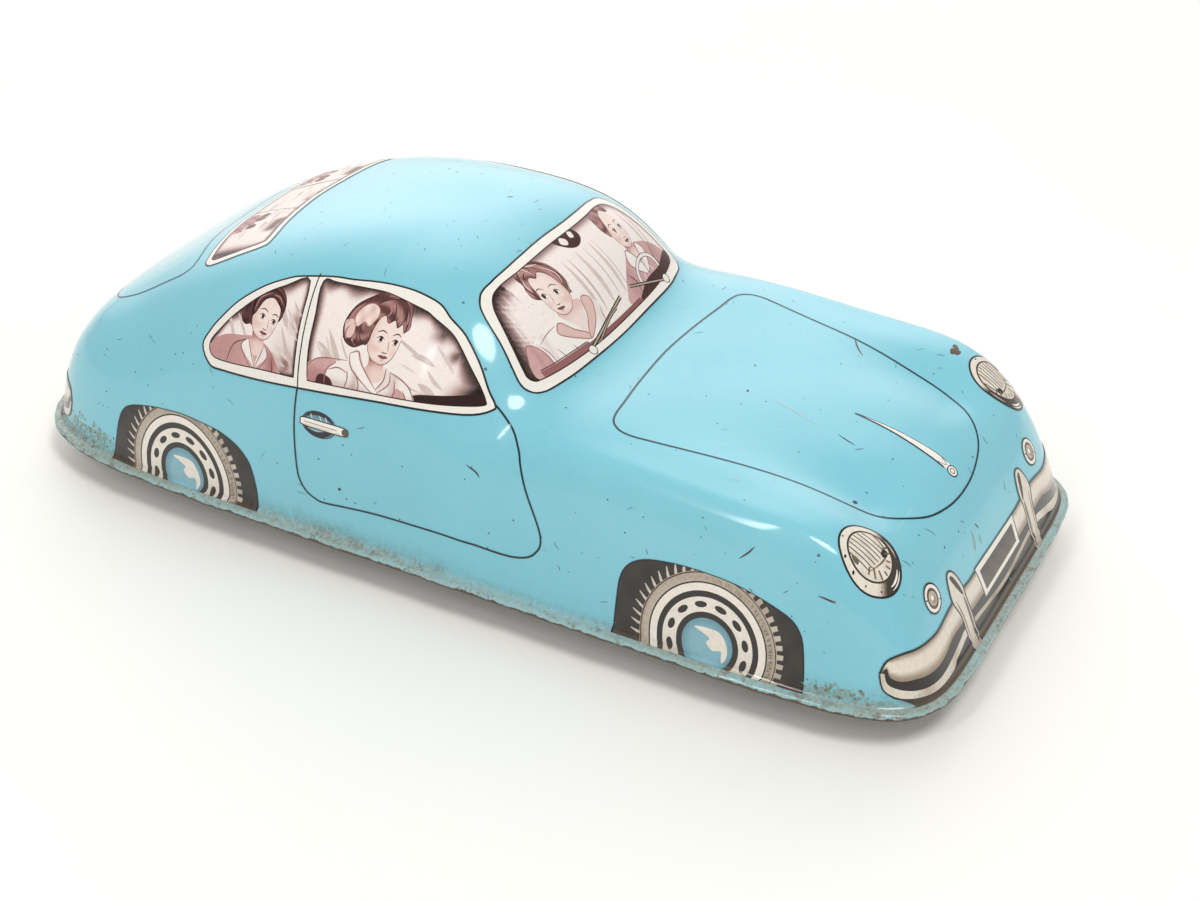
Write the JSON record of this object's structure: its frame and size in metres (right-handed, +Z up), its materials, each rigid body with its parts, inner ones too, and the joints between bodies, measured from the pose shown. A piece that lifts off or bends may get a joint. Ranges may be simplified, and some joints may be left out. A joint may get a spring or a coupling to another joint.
{
  "type": "friction toy car",
  "caption": "Streamlined tin toy coupe with a rolled base edge, base plate, free front axle and a geared flywheel friction motor on the rear axle.",
  "frame": {"origin": "on the ground under the middle of the car, at the middle of its length and width", "axes": "+Z up, the front faces -Y, +X is the car's left side; the axles run along X"},
  "size_m": [0.1022, 0.2198, 0.0646],
  "materials": {
    "printed_tin": "glossy light blue print with worn edges",
    "plain_tin": "dull tinplate",
    "wheel_tin": "pressed tinplate",
    "tyre_rubber": "matte, slightly dusty",
    "steel": "oiled steel",
    "gear_brass": "stamped brass",
    "flywheel_iron": "turned grey iron"
  },
  "bodies": {
    "car_body": {"body_shell": "printed_tin", "base_plate": "plain_tin", "motor_frame_left": "plain_tin", "motor_frame_right": "plain_tin", "front_bracket_left": "plain_tin", "front_bracket_right": "plain_tin", "bracket_rivet_left_front": "steel", "bracket_rivet_left_rear": "steel", "bracket_rivet_right_front": "steel", "bracket_rivet_right_rear": "steel", "frame_pillar_lower_front": "steel", "frame_pillar_lower_rear": "steel", "frame_pillar_upper": "steel"},
    "rear_axle_set": {"rear_axle": "steel", "rear_wheel_left": "wheel_tin", "rear_wheel_right": "wheel_tin", "rear_tyre_left": "tyre_rubber", "rear_tyre_right": "tyre_rubber", "rear_spacer_left": "steel", "rear_spacer_right": "steel", "drive_gear": "gear_brass"},
    "front_axle_set": {"front_axle": "steel", "front_wheel_left": "wheel_tin", "front_wheel_right": "wheel_tin", "front_tyre_left": "tyre_rubber", "front_tyre_right": "tyre_rubber", "front_spacer_left": "steel", "front_spacer_right": "steel"},
    "intermediate_set": {"intermediate_arbor": "steel", "intermediate_pinion": "steel", "intermediate_gear": "gear_brass"},
    "flywheel_set": {"flywheel_arbor": "steel", "flywheel_pinion": "steel", "flywheel": "flywheel_iron"}
  },
  "joints": [
    {"name": "flywheel_spin", "type": "hinge", "parent": "car_body", "child": "flywheel_set", "pos_m": [0, 0.03582, 0.02307], "axis": [1, 0, 0], "continuous": true},
    {"name": "intermediate_spin", "type": "hinge", "parent": "car_body", "child": "intermediate_set", "pos_m": [0, 0.04809, 0.01978], "axis": [1, 0, 0], "continuous": true},
    {"name": "rear_axle_spin", "type": "hinge", "parent": "car_body", "child": "rear_axle_set", "pos_m": [0, 0.058, 0.01284], "axis": [1, 0, 0], "continuous": true},
    {"name": "front_axle_spin", "type": "hinge", "parent": "car_body", "child": "front_axle_set", "pos_m": [0, -0.064, 0.01284], "axis": [1, 0, 0], "continuous": true}
  ],
  "couplings": [
    {"joint": "intermediate_spin", "follows": "flywheel_spin", "ratio": -0.3125},
    {"joint": "rear_axle_spin", "follows": "flywheel_spin", "ratio": 0.10417}
  ]
}
